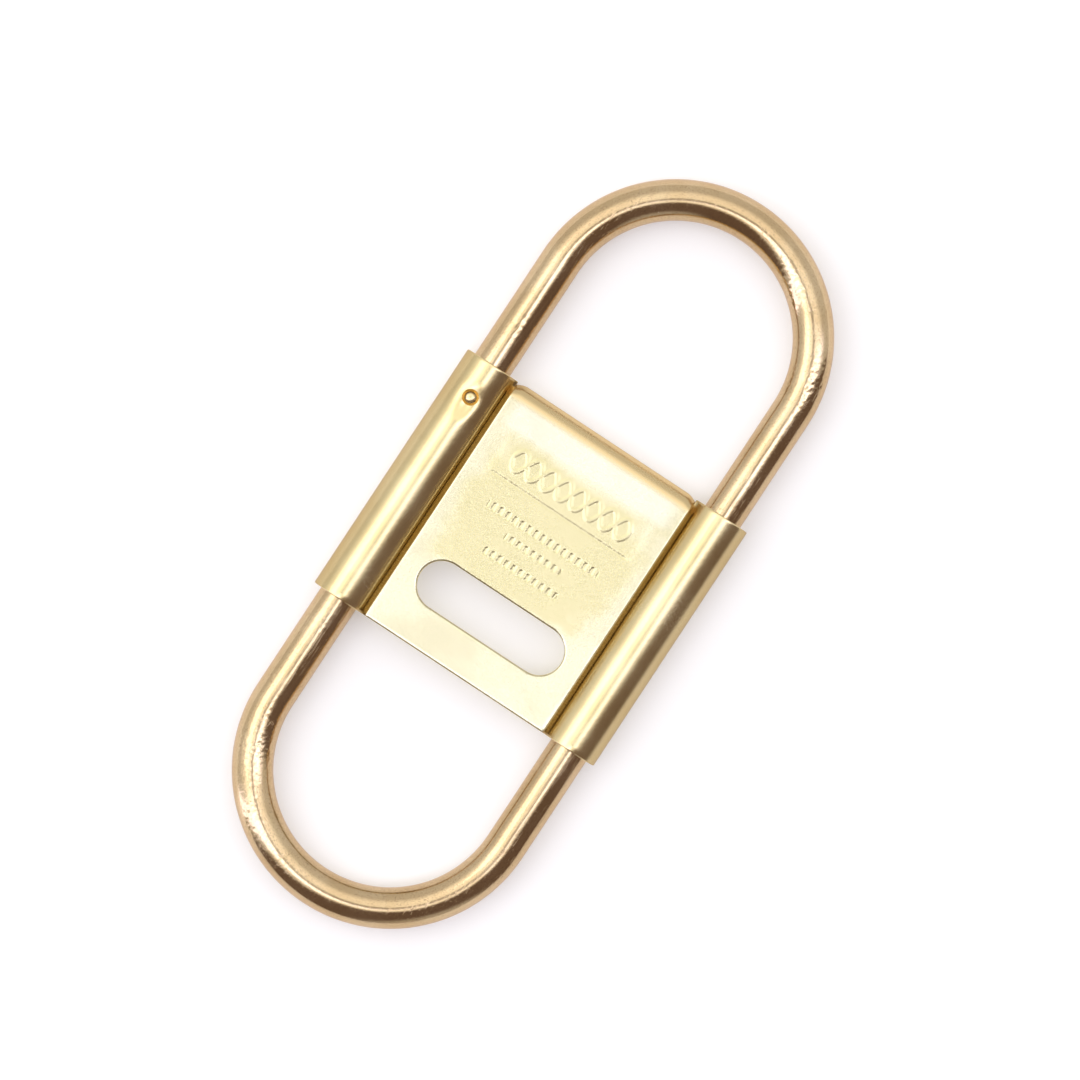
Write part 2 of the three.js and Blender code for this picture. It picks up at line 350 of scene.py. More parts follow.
def thicken(flat, faces, loops, thickness, edge):
    """Turns a flat grid into a sheet with rounded edges, still laid out flat. Returns its points
    as (x, s, depth below the outer face), and its faces. The sheet lies left of each loop."""
    count = len(flat)
    top = np.column_stack([flat, np.zeros(count)])
    bottom = np.column_stack([flat, np.full(count, thickness)])
    points = [top, bottom]
    made = [tuple(f) for f in faces] + [tuple(v + count for v in reversed(f)) for f in faces]
    used = 2 * count
    for loop in loops:
        size = len(loop)
        normal = loop_normals(flat[loop])
        below = list(loop)
        for out, deep in rim_rows(thickness, edge):
            row = flat[loop] + normal * out
            points.append(np.column_stack([row, np.full(size, deep)]))
            here = list(range(used, used + size))
            used += size
            for j in range(size):
                k = (j + 1) % size
                made.append((below[k], below[j], here[j], here[k]))
            below = here
        for j in range(size):
            k = (j + 1) % size
            made.append((below[k], below[j], loop[j] + count, loop[k] + count))
    return np.vstack(points), made


# ---------------------------------------------------------------- cover plate
# The cover is laid out flat first: s runs from its front bottom edge up the front, over the fold
# and down the back. A block of rings round each slot ends SLOT_BLOCK from the bottom edge.
FRONT = FOLD_Y - BODY_BOTTOM
FOLD = math.pi * COVER_OUT
STRIP = 2 * FRONT + FOLD
COVER_EDGE = 0.22
COLUMNS = 252
SIDE_ROWS = 60
SLOT_RINGS = 20
SLOT_BLOCK = 12.2
SLOT_SPREAD = 2.0
MARK_STEP = 0.1
FOLD_BEFORE = 2.5
FOLD_AFTER = 1.0
FOLD_ROWS = 46
BACK_ROWS = 24
# how the press has crowned the fold: its drop at the two ends, and how far in and down it reaches
CROWN_DROP = 0.35
CROWN_IN = 1.6
CROWN_DOWN = 2.6


def stadium_point(angle, grow):
    """Where a ray at this angle from the slot's centre meets the slot's edge."""
    r = SLOT_R + grow
    dx, dy = math.cos(angle), math.sin(angle)
    if abs(dy) > TINY:
        t = r / abs(dy)
        if abs(dx * t) <= SLOT_HALF:
            return dx * t, dy * t
    c = SLOT_HALF * (1 if dx > 0 else -1)
    b = dx * c
    t = b + math.sqrt(max(b * b - (SLOT_HALF ** 2 - r * r), 0))
    return dx * t, dy * t


def slot_block(low, high, centre):
    """A grid between the slot and the rectangle's edge from s = low to s = high. Returns its
    points and faces, and the indices of its outer ring and of its hole. Its rays from the slot's
    middle are spread along the slot by SLOT_SPREAD."""
    left, right = -COVER_HALF + COVER_EDGE, COVER_HALF - COVER_EDGE
    ring = [(left + (right - left) * i / COLUMNS, low) for i in range(COLUMNS)]
    ring += [(right, low + (high - low) * i / SIDE_ROWS) for i in range(SIDE_ROWS)]
    ring += [(right - (right - left) * i / COLUMNS, high) for i in range(COLUMNS)]
    ring += [(left, high - (high - low) * i / SIDE_ROWS) for i in range(SIDE_ROWS)]
    size = len(ring)
    points = []
    for row in range(SLOT_RINGS + 1):
        t = row / SLOT_RINGS
        for x, s in ring:
            hx, hs = stadium_point(math.atan2((s - centre) * SLOT_SPREAD, x), COVER_EDGE)
            points.append((x + (hx - x) * t, s + (centre + hs - s) * t))
    faces = []
    for row in range(SLOT_RINGS):
        for j in range(size):
            k = (j + 1) % size
            a, b = row * size, (row + 1) * size
            faces.append((a + j, a + k, b + k, b + j))
    outer = list(range(size))
    hole = [SLOT_RINGS * size + j for j in range(size)]
    return points, faces, outer, hole


def cover_grid():
    """Points (x, s) and faces of the cover laid out flat, and the loops round it and its slots."""
    slot_s = SLOT_Y - BODY_BOTTOM
    low = COVER_EDGE
    points, faces, outer, hole = slot_block(low, SLOT_BLOCK, slot_s)
    top_row = [outer[(COLUMNS + SIDE_ROWS + i) % len(outer)] for i in range(COLUMNS + 1)][::-1]
    fold_start, fold_end = FRONT - FOLD_BEFORE, FRONT + FOLD + FOLD_AFTER
    s_rows = list(np.arange(SLOT_BLOCK, fold_start, MARK_STEP)[1:])
    s_rows += list(np.linspace(fold_start, fold_end, FOLD_ROWS))
    s_rows += list(np.linspace(fold_end, STRIP - SLOT_BLOCK, BACK_ROWS)[1:])
    left, right = -COVER_HALF + COVER_EDGE, COVER_HALF - COVER_EDGE
    xs = [left + (right - left) * i / COLUMNS for i in range(COLUMNS + 1)]
    left_side, right_side = [], []
    for s in s_rows[:-1]:
        here = list(range(len(points), len(points) + COLUMNS + 1))
        points += [(x, s) for x in xs]
        for i in range(COLUMNS):
            faces.append((top_row[i], top_row[i + 1], here[i + 1], here[i]))
        top_row = here
        left_side.append(here[0])
        right_side.append(here[-1])
    second, more, outer2, hole2 = slot_block(STRIP - SLOT_BLOCK, STRIP - low, STRIP - slot_s)
    shift = len(points)
    points += second
    faces += [tuple(v + shift for v in f) for f in more]
    outer2 = [v + shift for v in outer2]
    hole2 = [v + shift for v in hole2]
    below = outer2[:COLUMNS + 1]
    for i in range(COLUMNS):
        faces.append((top_row[i], top_row[i + 1], below[i + 1], below[i]))
    corner = COLUMNS + SIDE_ROWS
    loop = outer[:corner + 1] + right_side + outer2[COLUMNS:2 * COLUMNS + 2 * SIDE_ROWS]
    loop += [outer2[0]] + left_side[::-1] + outer[corner + COLUMNS:]
    return np.array(points), faces, [loop, hole[::-1], hole2[::-1]]


# Stamped marks, in millimetres below the plate's top edge: a raised panel with two crossing waves
# and a line under it, and three rows of ticks as (place, width of the row, half the ticks' length).
STAMP_TOP = 5.2
STAMP_BOTTOM = 10.7
STAMP_HALF = 10.0
PANEL_HIGH = 0.030
WAVE_LENGTH = 4.2
WAVE_REACH = 1.35
WAVE_HALF = 8.4
WAVE_HIGH = 0.056
LINE_DEEP = 0.050
TICK_ROWS = ((14.2, 15.6, 0.50), (16.4, 7.8, 0.42), (19.1, 10.2, 0.45))
TICK_DEEP = 0.075
# the ticks' pitch is a whole number of the mesh's columns, so that all ticks come out alike
COLUMN_STEP = 2 * (COVER_HALF - COVER_EDGE) / COLUMNS
TICK_PITCH = 10 * COLUMN_STEP
# (full, faded) distances from the middle line of each kind of mark
WAVE_WIDE = (0.08, 0.36)
LINE_WIDE = (0.06, 0.24)
TICK_WIDE = (0.10, 0.34)
TICK_END = 0.10
PANEL_SIDE = 0.5
PANEL_FOOT = 0.16


def stamp_height(x, below):
    """Height of the stamped marks, by place across the plate and distance below its top edge."""
    across = np.abs(x)
    # the panel rises slowly from its top and is highest along its lower edge
    inside = smooth(-PANEL_SIDE, PANEL_SIDE, STAMP_HALF - across)
    inside *= smooth(-PANEL_FOOT, PANEL_FOOT, STAMP_BOTTOM - below)
    inside *= smooth(STAMP_TOP - 1, STAMP_TOP + 3, below)
    height = PANEL_HIGH * inside
    # two waves cross on it; steep turns the gap along y into the distance square to the wave
    from_middle = below - (STAMP_TOP + STAMP_BOTTOM) / 2
    turn = 2 * math.pi * x / WAVE_LENGTH
    crest = WAVE_REACH * np.sin(turn)
    steep = np.hypot(1, 2 * math.pi * WAVE_REACH / WAVE_LENGTH * np.cos(turn))
    gap = np.minimum(np.abs(from_middle - crest), np.abs(from_middle + crest)) / steep
    height += WAVE_HIGH * smooth(WAVE_WIDE[1], WAVE_WIDE[0], gap) * (across < WAVE_HALF)
    line = smooth(LINE_WIDE[1], LINE_WIDE[0], np.abs(below - STAMP_BOTTOM))
    height -= LINE_DEEP * line * smooth(0.0, 0.8, STAMP_HALF - across)
    for place, width, reach in TICK_ROWS:
        beside = np.abs(np.mod(x + TICK_PITCH / 2, TICK_PITCH) - TICK_PITCH / 2)
        mark = smooth(TICK_WIDE[1], TICK_WIDE[0], beside)
        mark *= smooth(reach + TICK_END, reach - TICK_END, np.abs(below - place))
        height -= TICK_DEEP * mark * (across < width / 2)
    return height


def fold_cover(points):
    """Stamps the flat cover and bends it round the band's top edge."""
    x, s, depth = points[:, 0], points[:, 1], points[:, 2]
    below = COVER_HIGH[1] - (BODY_BOTTOM + s)
    raised = np.where((depth < ON_FACE) & (s < FRONT), stamp_height(x, below), 0)
    r = COVER_OUT - depth + raised
    angle = np.clip((s - FRONT) / COVER_OUT, 0, math.pi)
    front = np.minimum(s, FRONT)
    back = np.maximum(s - FRONT - FOLD, 0)
    y = BODY_BOTTOM + front - back + r * np.sin(angle)
    z = r * np.cos(angle)
    crown = smooth(CROWN_IN, 0.0, COVER_HALF - np.abs(x))
    near_fold = smooth(BODY_TOP - CROWN_DOWN, BODY_TOP, y)
    y = y - CROWN_DROP * crown ** 2 * near_fold
    return np.column_stack([x, y, MID_Z + z])


def make_cover(material):
    flat, faces, loops = cover_grid()
    points, faces = thicken(flat, faces, loops, SHEET, COVER_EDGE)
    add_piece("cover_plate", fold_cover(points), faces, material, "body")


# ---------------------------------------------------------------- sleeve band
SEAM_X = 11.4
SEAM_GAP = 0.15
BAND_EDGE = 0.14
# the sleeves' full height starts just beside the cover, and the dimple is on the left one's front
BESIDE_COVER = COVER_HALF + 0.05
CREST_Z = 0.3
# steps across the band's section: the left sleeve is finer than the right one, for the dimple
BACK_STEPS = 24
FRONT_STEPS = 26
VALLEY_STEPS = 12
LEFT_STEPS = 170
RIGHT_STEPS = 110
SEAM_STEPS = 3
# rows of points up the band, close together from PIN_BELOW under the pin to PIN_ABOVE over it
LOW_ROWS = 36
PIN_ROWS = 56
HIGH_ROWS = 14
PIN_BELOW = 4.0
PIN_ABOVE = 2.0
# the punched dimple: a dish round the pin that reaches further down, with a narrow trail below
DISH_DEEP = 0.28
DISH_WIDE = 1.15
DISH_DOWN = 2.0
DISH_UP = 1.1
TRAIL_DEEP = 0.12
TRAIL_WIDE = 0.6
TRAIL_START = (0.0, -1.2)
TRAIL_END = (-3.4, -1.4)


def band_section():
    """The band's outer face across the body, as (x, z, normal x, normal z) from seam to seam."""
    reach = SLEEVE_R + VALLEY_R
    rise = WEB_HALF + VALLEY_R
    inset = math.sqrt(reach ** 2 - rise ** 2)
    lean = math.asin(rise / reach)
    valley_x = LEG_X - inset
    rows = []

    def line(x0, x1, z, up, steps):
        for i in range(steps):
            rows.append((x0 + (x1 - x0) * i / steps, z, 0, up))

    def arc(cx, cz, r, start, end, steps, out):
        for i in range(steps):
            a = start + (end - start) * i / steps
            c, s = math.cos(a), math.sin(a)
            rows.append((cx + r * c, cz + r * s, out * c, out * s))

    quarter = math.pi / 2
    line(SEAM_X, -valley_x, -WEB_HALF, -1, BACK_STEPS)
    arc(-valley_x, -rise, VALLEY_R, quarter, math.pi - lean, VALLEY_STEPS, -1)
    arc(-LEG_X, 0, SLEEVE_R, -lean, lean - 2 * math.pi, LEFT_STEPS, 1)
    arc(-valley_x, rise, VALLEY_R, math.pi + lean, 3 * quarter, VALLEY_STEPS, -1)
    line(-valley_x, valley_x, WEB_HALF, 1, FRONT_STEPS)
    arc(valley_x, rise, VALLEY_R, -quarter, -lean, VALLEY_STEPS, -1)
    arc(LEG_X, 0, SLEEVE_R, math.pi - lean, lean - math.pi, RIGHT_STEPS, 1)
    arc(valley_x, -rise, VALLEY_R, lean, quarter, VALLEY_STEPS, -1)
    line(valley_x, SEAM_X + SEAM_GAP, -WEB_HALF, -1, SEAM_STEPS)
    rows.append((SEAM_X + SEAM_GAP, -WEB_HALF, 0, -1))
    return np.array(rows)


def band_rows():
    """Heights of the band's rows, close together near the retaining pin."""
    fine_start, fine_end = PIN_Y - PIN_BELOW, PIN_Y + PIN_ABOVE
    low = list(np.linspace(BODY_BOTTOM + BAND_EDGE, fine_start, LOW_ROWS))
    fine = list(np.linspace(fine_start, fine_end, PIN_ROWS))[1:]
    high = list(np.linspace(fine_end, BODY_TOP - BAND_EDGE, HIGH_ROWS))[1:]
    return low + fine + high


def dimple_depth(across, along):
    """How deep the punch has sunk the sleeve, by place round the sleeve and along it from the pin."""
    reach = np.where(along < 0, DISH_DOWN, DISH_UP)
    dish = np.exp(-(across / DISH_WIDE) ** 2 - (along / reach) ** 2)
    trail = np.exp(-(across / TRAIL_WIDE) ** 2)
    trail *= smooth(*TRAIL_START, along) * smooth(*TRAIL_END, along)
    return DISH_DEEP * dish + TRAIL_DEEP * trail


def make_band(material):
    """The band, made flat as (run round the section, y) and then folded to its section. Its web
    ends lower than its sleeves, to leave room for the cover's fold."""
    section = band_section()
    rows = band_rows()
    columns = len(section)
    steps = np.linalg.norm(np.diff(section[:, :2], axis=0), axis=1)
    run = np.concatenate([[0], np.cumsum(steps)])
    top = np.where(np.abs(section[:, 0]) > BESIDE_COVER, BODY_TOP, WEB_TOP) - BAND_EDGE
    flat, faces = [], []
    base = BODY_BOTTOM + BAND_EDGE
    span = BODY_TOP - BAND_EDGE - base
    for y in rows:
        share = (y - base) / span
        flat += [(run[i], base + share * (top[i] - base)) for i in range(columns)]
    for i in range(len(rows) - 1):
        for j in range(columns - 1):
            a = i * columns + j
            faces.append((a, a + 1, a + columns + 1, a + columns))
    last = (len(rows) - 1) * columns
    loop = list(range(columns))
    loop += [i * columns + columns - 1 for i in range(1, len(rows) - 1)]
    loop += [last + j for j in range(columns - 1, -1, -1)]
    loop += [i * columns for i in range(len(rows) - 2, 0, -1)]
    points, faces = thicken(np.array(flat), faces, [loop], SHEET, BAND_EDGE)
    s, y, depth = points[:, 0], points[:, 1], points[:, 2]
    inside = np.clip(s, 0, run[-1])
    beyond = s - inside
    x = np.interp(inside, run, section[:, 0]) - beyond
    z = np.interp(inside, run, section[:, 1])
    nx = np.interp(inside, run, section[:, 2])
    nz = np.interp(inside, run, section[:, 3])
    size = np.hypot(nx, nz)
    nx, nz = nx / size, nz / size
    around = SLEEVE_R * np.arctan2(x + LEG_X, z)
    on_crest = (x < -LEG_X + SLEEVE_R) & (z > CREST_Z)
    sunk = np.where(on_crest, dimple_depth(around, y - PIN_Y), 0)
    deep = depth + np.where(depth < ON_FACE, sunk, 0)
    placed = np.column_stack([x - nx * deep, y, MID_Z + z - nz * deep])
    return add_piece("sleeve_band", placed, faces, material, "body")


# ---------------------------------------------------------------- small pieces
PIN_SIDES = 40
RING_SIDES = 64
RING_CLEAR = 0.1
WASHER_EDGE = 0.08
COLLAR_EDGE = 0.2


def make_pin(name, material, centre, tip, end, sign):
    """A pin along z from its inner tip to its outer end, which is peened to a low dome. Both are
    distances from the rods' middle, towards the front where sign is 1 and the back where it's -1."""
    r = PIN_R
    rows = [(tip, 0.0), (tip, r - 0.12), (tip + 0.12, r), (end - 0.22, r), (end - 0.12, r - 0.03)]
    rows += [(end - 0.05, r - 0.12), (end - 0.01, r - 0.27), (end, 0.0)]
    profile = [(sign * along, radius) for along, radius in rows]
    points, faces = lathe(profile, PIN_SIDES, "z", (centre[0], centre[1], MID_Z))
    add_piece(name, points, faces, material, "body")


def make_ring(name, material, low, high, hole, outer, edge, body):
    """A turned ring round the left leg with small chamfers."""
    rows = [(low, hole), (low, outer - edge), (low + edge, outer), (high - edge, outer)]
    rows += [(high, outer - edge), (high, hole)]
    points, faces = lathe(rows, RING_SIDES, "y", (-LEG_X, 0, MID_Z))
    add_piece(name, points, faces, material, body)


SPRING_TURNS = 8
SPRING_STEPS = 40
WIRE_R = 0.25
WIRE_SIDES = 12
GROUND = 0.15
COIL_CLEAR = 0.05


def make_spring(material):
    """A compression spring with closed ends ground flat. It is squashed up to its fixed upper end
    by as much as the shackle travels."""
    radius = (SPRING_HIGH[0] - SPRING_LOW[0]) / 2 - WIRE_R
    low, high = SPRING_LOW[1] + WIRE_R, SPRING_HIGH[1] - WIRE_R
    closed = 2 * WIRE_R + COIL_CLEAR
    pitch = (high - low - 2 * closed) / (SPRING_TURNS - 2)
    points = []
    rings = SPRING_TURNS * SPRING_STEPS + 1
    for i in range(rings):
        turn = i / SPRING_STEPS
        shut = min(turn, 1) + max(turn - SPRING_TURNS + 1, 0)
        y = low + shut * closed + (turn - shut) * pitch
        a = 2 * math.pi * turn
        for j in range(WIRE_SIDES):
            b = 2 * math.pi * j / WIRE_SIDES
            r = radius + WIRE_R * math.cos(b)
            height = np.clip(y + WIRE_R * math.sin(b), low - GROUND, high + GROUND)
            points.append((-LEG_X + r * math.cos(a), height, MID_Z + r * math.sin(a)))
    ends = [np.mean(points[:WIRE_SIDES], axis=0), np.mean(points[-WIRE_SIDES:], axis=0)]
    faces = tube_faces(rings, WIRE_SIDES)
    spring = add_piece("return_spring", points + ends, faces, material, "body")
    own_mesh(spring)


# ---------------------------------------------------------------- cuts through the sheet
SLOT_CLEAR = 0.05
SLOT_STEPS = 24
HOLE_CLEAR = 0.1
HOLE_SIDES = 40
HOLE_FLOOR = 1.0
SINK_CLEAR = 0.06
SINK_SIDES = 48
PAST = 1.0


def cut(piece, cutter_points, cutter_faces):
    """Cuts a closed shape out of a piece and drops the cutter."""
    mesh = new_mesh("cutter", cutter_points, cutter_faces)
    cutter = bpy.data.objects.new("cutter", mesh)
    bpy.context.scene.collection.objects.link(cutter)
    modifier = piece.modifiers.new("cut", "BOOLEAN")
    modifier.operation = "DIFFERENCE"
    modifier.solver = "EXACT"
    modifier.object = cutter
    graph = bpy.context.evaluated_depsgraph_get()
    cut_mesh = bpy.data.meshes.new_from_object(piece.evaluated_get(graph))
    piece.modifiers.remove(modifier)
    old = piece.data
    name = old.name
    piece.data = cut_mesh
    bpy.data.meshes.remove(old)
    cut_mesh.name = name
    cut_mesh.set_sharp_from_angle(angle=SHARP)
    bpy.data.objects.remove(cutter)
    bpy.data.meshes.remove(mesh)


def slot_cutter():
    """A stadium through the body, a little larger than the cover's slot."""
    radius = SLOT_R + SLOT_CLEAR
    outline = []
    for side, start in ((1, -90), (-1, 90)):
        for i in range(SLOT_STEPS + 1):
            a = math.radians(start + 180 * i / SLOT_STEPS)
            outline.append((side * SLOT_HALF + radius * math.cos(a), SLOT_Y + radius * math.sin(a)))
    count = len(outline)
    points = [(x, y, MID_Z - SLEEVE_R) for x, y in outline]
    points += [(x, y, MID_Z + SLEEVE_R) for x, y in outline]
    faces = [(j, (j + 1) % count, (j + 1) % count + count, j + count) for j in range(count)]
    faces += [tuple(range(count)), tuple(range(2 * count - 1, count - 1, -1))]
    return points, faces


def hole_cutter(x, y, low, high):
    """A round bar along z that cuts a pin's hole."""
    radius = PIN_R + HOLE_CLEAR
    rows = [(low, 0.0), (low, radius), (high, radius), (high, 0.0)]
    return lathe(rows, HOLE_SIDES, "z", (x, y, MID_Z))


def countersink_cutter():
    """A cone that opens upwards round the retaining pin."""
    low_r = PIN_R + SINK_CLEAR
    rows = [(COUNTERSINK_LOW, 0.0), (COUNTERSINK_LOW, low_r), (COUNTERSINK_HIGH, COUNTERSINK_R)]
    rows += [(SLEEVE_R + PAST, COUNTERSINK_R), (SLEEVE_R + PAST, 0.0)]
    return lathe(rows, SINK_SIDES, "z", (PIN_X, PIN_Y, MID_Z))


# ---------------------------------------------------------------- materials
class Nodes:
    """Short ways to add and join shader nodes. An input is a value or another node's output."""

    def __init__(self, tree):
        self.tree = tree

    def add(self, kind, inputs=None, **settings):
        node = self.tree.nodes.new(kind)
        for key, value in settings.items():
            setattr(node, key, value)
        for key, value in (inputs or {}).items():
            if isinstance(value, bpy.types.NodeSocket):
                self.tree.links.new(value, node.inputs[key])
            else:
                node.inputs[key].default_value = value
        return node

    def math(self, operation, a, b=0.0, clamp=False):
        node = self.add("ShaderNodeMath", {0: a, 1: b}, operation=operation, use_clamp=clamp)
        return node.outputs[0]

    def sum(self, first, *others):
        for other in others:
            first = self.math("ADD", first, other)
        return first

    def times(self, first, *others):
        for other in others:
            first = self.math("MULTIPLY", first, other)
        return first

    def span(self, value, low, high, to_low=0.0, to_high=1.0):
        """Maps low..high to to_low..to_high, smoothly, and holds the ends beyond."""
        inputs = {"Value": value, "From Min": low, "From Max": high}
        inputs.update({"To Min": to_low, "To Max": to_high})
        node = self.add("ShaderNodeMapRange", inputs, interpolation_type="SMOOTHSTEP")
        return node.outputs[0]

    def noise(self, vector, scale, detail=2.0, roughness=0.5):
        """Noise with scale features per metre."""
        inputs = {"Vector": vector, "Scale": scale, "Detail": detail, "Roughness": roughness}
        return self.add("ShaderNodeTexNoise", inputs).outputs["Fac"]

    def streaks(self, vector, scale, detail, turn=0.0):
        """Noise drawn out into lines: scale gives the features per metre along each axis."""
        inputs = {"Vector": vector, "Scale": scale, "Rotation": (0, 0, turn)}
        stretched = self.add("ShaderNodeMapping", inputs).outputs[0]
        return self.noise(stretched, 1, detail)

    def split(self, vector):
        """The x, y and z of a vector."""
        return self.add("ShaderNodeSeparateXYZ", {0: vector}).outputs

    def mix(self, share, a, b):
        """A colour that is a where share is 0 and b where it is 1."""
        colours = {0: share, 6: a, 7: b}
        return self.add("ShaderNodeMix", colours, data_type="RGBA").outputs[2]


UNTINTED = (1.0, 1.0, 1.0, 1)


def new_metal(name, rim=UNTINTED):
    """A material with its nodes, its shader and the position in the row's frame, in metres.
    rim tints what the metal reflects at a grazing angle."""
    material = bpy.data.materials.new(name)
    material.use_nodes = True
    nodes = Nodes(material.node_tree)
    shader = material.node_tree.nodes["Principled BSDF"]
    shader.inputs["Metallic"].default_value = 1.0
    shader.inputs["Specular Tint"].default_value = rim
    place = nodes.add("ShaderNodeTexCoord").outputs["Object"]
    return material, nodes, shader, place


def plug(nodes, shader, colour, roughness, height, distance):
    """Joins a metal's colour, roughness and bump to its shader. distance is the bump in metres."""
    bump = nodes.add("ShaderNodeBump", {"Height": height, "Distance": distance, "Strength": 1.0})
    nodes.tree.links.new(colour, shader.inputs["Base Color"])
    nodes.tree.links.new(roughness, shader.inputs["Roughness"])
    nodes.tree.links.new(bump.outputs[0], shader.inputs["Normal"])


# Sizes on the object are in metres from here on, because shaders read its place in metres.
# The features per metre of each noise: a cloudy tone, orange peel, specks and the finest grain.
CLOUD = 120
PEEL = 2100
SPECKS = 5200
FINE = 9000
DRAWN_LINES = (3000, 110, 3000)
# the share of the noise's range over which it goes from one tone to the other
TONE_LOW, TONE_HIGH = 0.35, 0.65
GRAIN_LOW, GRAIN_HIGH = 0.3, 0.7

BRASS_PALE = (0.84, 0.69, 0.39, 1)
BRASS_DEEP = (0.79, 0.62, 0.32, 1)
BRASS_STAIN = (0.50, 0.36, 0.15, 1)
# painted shade: the dark colour mixed into the band's valleys and flanks
BAND_SHADE = (0.26, 0.16, 0.06, 1)
SHEET_RIM = (0.74, 0.67, 0.58, 1)

# painted shade on the band: in the valley beside each sleeve, and low on its outer flank
CREVICE_X, CREVICE_SOFT, CREVICE_SHARE = 0.0133, 0.0011, 0.52
FLANK_X, FLANK_SOFT, FLANK_SHARE = 0.0182, 0.0014, 0.40

# painted highlight: the cover's brass is paler and whiter than the band's, with a random pale and
# deep tone
COVER_LIT_PALE = (0.86, 0.795, 0.55, 1)
COVER_LIT_DEEP = (0.84, 0.775, 0.51, 1)
# painted shade: darker colour over the middle of the cover's front
COVER_STRUCK_SHADE = (0.68, 0.61, 0.330, 1)
# painted highlight: pale colour in a band across the front under the fold
COVER_HIGHLIGHT = (0.90, 0.86, 0.67, 1)
# painted shade on the fold: darker and more golden
COVER_FOLD_SHADE = (0.75, 0.56, 0.285, 1)

# The press hit the cover's front round its marks: the middle and half size of that area, and how far
# its edge wanders sideways. Its coarse peel is weaker among the marks at its top. Its peel and
# roughness are real, and its darker colour is painted shade.
STRUCK_X = 0.0098
STRUCK_MIDDLE_Y, STRUCK_HALF_Y = 0.0022, 0.0087
STRUCK_WANDER = 0.012
STRUCK_SHADE_SHARE = 0.85
STRUCK_PEEL, SMOOTH_PEEL = 2.8, 0.12
MARKS_Y = (0.0075, 0.0095)
FRONT_Z = (0.0036, 0.0044)
# above it the front has a painted highlight up to the fold, and the fold has painted shade, darker
# and more golden
HIGHLIGHT_Y, HIGHLIGHT_X = (0.0106, 0.0116), (0.0122, 0.0104)
HIGHLIGHT_SHARE = 0.75
FOLD_SHADE_Y = (0.0138, 0.0148)
FOLD_SHADE_SHARE = 0.95


def sheet_finish(name, pale, deep, grain, roughness, details):
    """Satin sheet brass. grain is the bump's height in metres. details(nodes, place, cloud, tone)
    gives the piece's tone with its painted shade and highlight, the weight of its orange peel, and
    what to add to its roughness."""
    material, nodes, shader, place = new_metal(name, SHEET_RIM)
    cloud = nodes.noise(place, CLOUD, 3)
    peel = nodes.noise(place, PEEL, 3, 0.6)
    fine = nodes.noise(place, FINE, 2)
    drawn = nodes.streaks(place, DRAWN_LINES, 3)
    specks = nodes.span(nodes.noise(place, SPECKS, 1), 0.68, 0.80)
    tone = nodes.mix(nodes.span(cloud, TONE_LOW, TONE_HIGH), deep, pale)
    tone = nodes.mix(nodes.times(specks, 0.4), tone, BRASS_STAIN)
    tone, peel_weight, dullness = details(nodes, place, cloud, tone)
    rough = nodes.sum(nodes.span(cloud, GRAIN_LOW, GRAIN_HIGH, roughness, roughness + 0.05),
                      nodes.span(fine, GRAIN_LOW, GRAIN_HIGH, 0.0, 0.05), dullness)
    height = nodes.sum(nodes.times(drawn, 0.5), nodes.times(fine, 0.4),
                       nodes.times(peel, peel_weight))
    plug(nodes, shader, tone, rough, height, grain)
    return material


def band_details(nodes, place, cloud, tone):
    """Painted shade on the band, in its valleys and on its flanks."""
    across = nodes.math("ABSOLUTE", nodes.split(place)[0])
    valley = nodes.span(across, CREVICE_X + CREVICE_SOFT, CREVICE_X, 0.0, CREVICE_SHARE)
    flank = nodes.span(across, FLANK_X, FLANK_X + FLANK_SOFT, 0.0, FLANK_SHARE)
    # the valleys and flanks are painted darker, as painted shade
    return nodes.mix(nodes.sum(valley, flank), tone, BAND_SHADE), 0.6, 0.0


def cover_details(nodes, place, cloud, tone):
    """The cover's area hit by the press, with its ragged edge, coarse peel and painted shade, the
    painted highlight band above it and the painted shade on the fold.
    """
    x, y, z = nodes.split(place)
    across = nodes.math("ABSOLUTE", x)
    front = nodes.span(z, *FRONT_Z)
    ragged = nodes.times(nodes.math("SUBTRACT", cloud, 0.5), STRUCK_WANDER)
    side = nodes.sum(across, ragged)
    along = nodes.math("ABSOLUTE", nodes.math("SUBTRACT", y, STRUCK_MIDDLE_Y))
    along = nodes.sum(along, nodes.times(ragged, 0.35))
    struck_and_shade = nodes.times(nodes.span(side, STRUCK_X + 0.0018, STRUCK_X - 0.0012),
                         nodes.span(along, STRUCK_HALF_Y + 0.0007, STRUCK_HALF_Y - 0.0009), front)
    # painted highlight band under the fold
    painted_highlight = nodes.times(nodes.span(y, *HIGHLIGHT_Y, 0.0, HIGHLIGHT_SHARE),
                         nodes.span(across, *HIGHLIGHT_X), front)
    tone = nodes.mix(painted_highlight, tone, COVER_HIGHLIGHT)
    # painted shade: the area hit by the press is painted darker
    tone = nodes.mix(nodes.times(struck_and_shade, STRUCK_SHADE_SHARE), tone, COVER_STRUCK_SHADE)
    # painted shade on the fold
    tone = nodes.mix(nodes.span(y, *FOLD_SHADE_Y, 0.0, FOLD_SHADE_SHARE), tone, COVER_FOLD_SHADE)
    peel_weight = nodes.times(nodes.span(struck_and_shade, 0.0, 1.0, SMOOTH_PEEL, STRUCK_PEEL),
                              nodes.span(y, *MARKS_Y, 1.0, 0.5))
    return tone, peel_weight, nodes.times(struck_and_shade, 0.04)


ROD_PALE = (0.71, 0.535, 0.320, 1)
ROD_DEEP = (0.65, 0.470, 0.260, 1)
